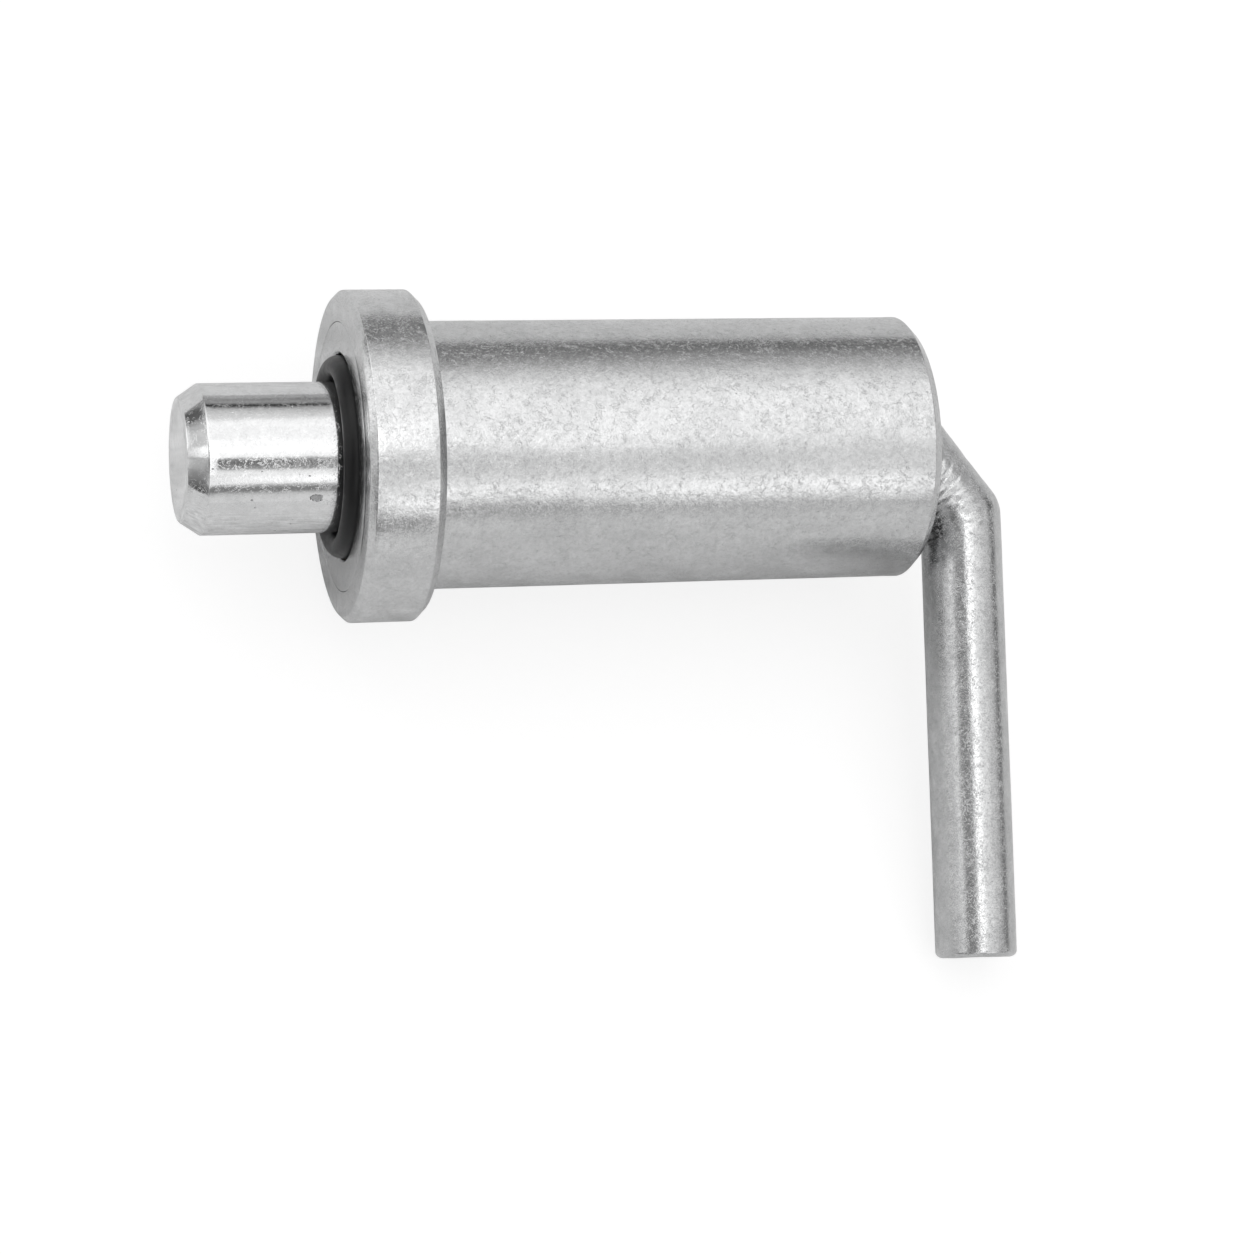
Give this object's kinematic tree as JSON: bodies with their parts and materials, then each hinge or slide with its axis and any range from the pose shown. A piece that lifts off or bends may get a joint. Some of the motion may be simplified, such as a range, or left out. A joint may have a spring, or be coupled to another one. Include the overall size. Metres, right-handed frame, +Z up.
{
  "type": "spring-loaded hitch pin lock",
  "caption": "Round weld-in barrel with a collar, a spring-loaded plunger pin at the front and an L-shaped pull handle at the rear.",
  "frame": {"origin": "on the barrel's axis, in the plane of the collar's rear face, which seats against the plate that holds the lock", "axes": "+X along the barrel's axis, from the plunger's tip towards the handle; +Z up as the lock lies on its side, with the handle's end down; +Y completes the frame, so the handle points to -Y"},
  "size_m": [0.102, 0.0827, 0.0396],
  "materials": {
    "zinc_barrel": "bright zinc plate over drawn tube, satin and finely mottled",
    "zinc_collar": "bright zinc plate over turned steel, satin with fine scratches",
    "zinc_pin": "bright zinc plate over finely turned bar, near mirror",
    "zinc_handle": "bright zinc plate over hammered-looking drawn rod, glossy",
    "seal_rubber": "black nitrile rubber, semi-gloss",
    "spring_steel": "drawn spring wire, oiled",
    "ring_steel": "phosphated spring steel",
    "turned_steel": "plain turned steel",
    "bronze": "sintered bronze, matt"
  },
  "bodies": {
    "housing": {"barrel_tube": "zinc_barrel", "collar_ring": "zinc_collar", "front_guide_bush": "bronze", "wiper_seal": "seal_rubber", "rear_guide_bush": "turned_steel", "rear_retaining_ring": "ring_steel", "compression_spring": "spring_steel"},
    "washer": {"thrust_washer": "turned_steel"},
    "plunger": {"plunger_pin": "zinc_pin", "handle_rod": "zinc_handle", "handle_cross_pin": "turned_steel"}
  },
  "joints": [
    {"name": "plunger_slide", "type": "slide", "parent": "housing", "child": "washer", "axis": [1, 0, 0], "range_m": [0, 0.02], "stiffness_N_per_m": 2150, "springref_m": -0.0125, "deforming": ["compression_spring"]},
    {"name": "handle_turn", "type": "hinge", "parent": "washer", "child": "plunger", "pos_m": [0, 0, 0], "axis": [1, 0, 0], "continuous": true}
  ]
}
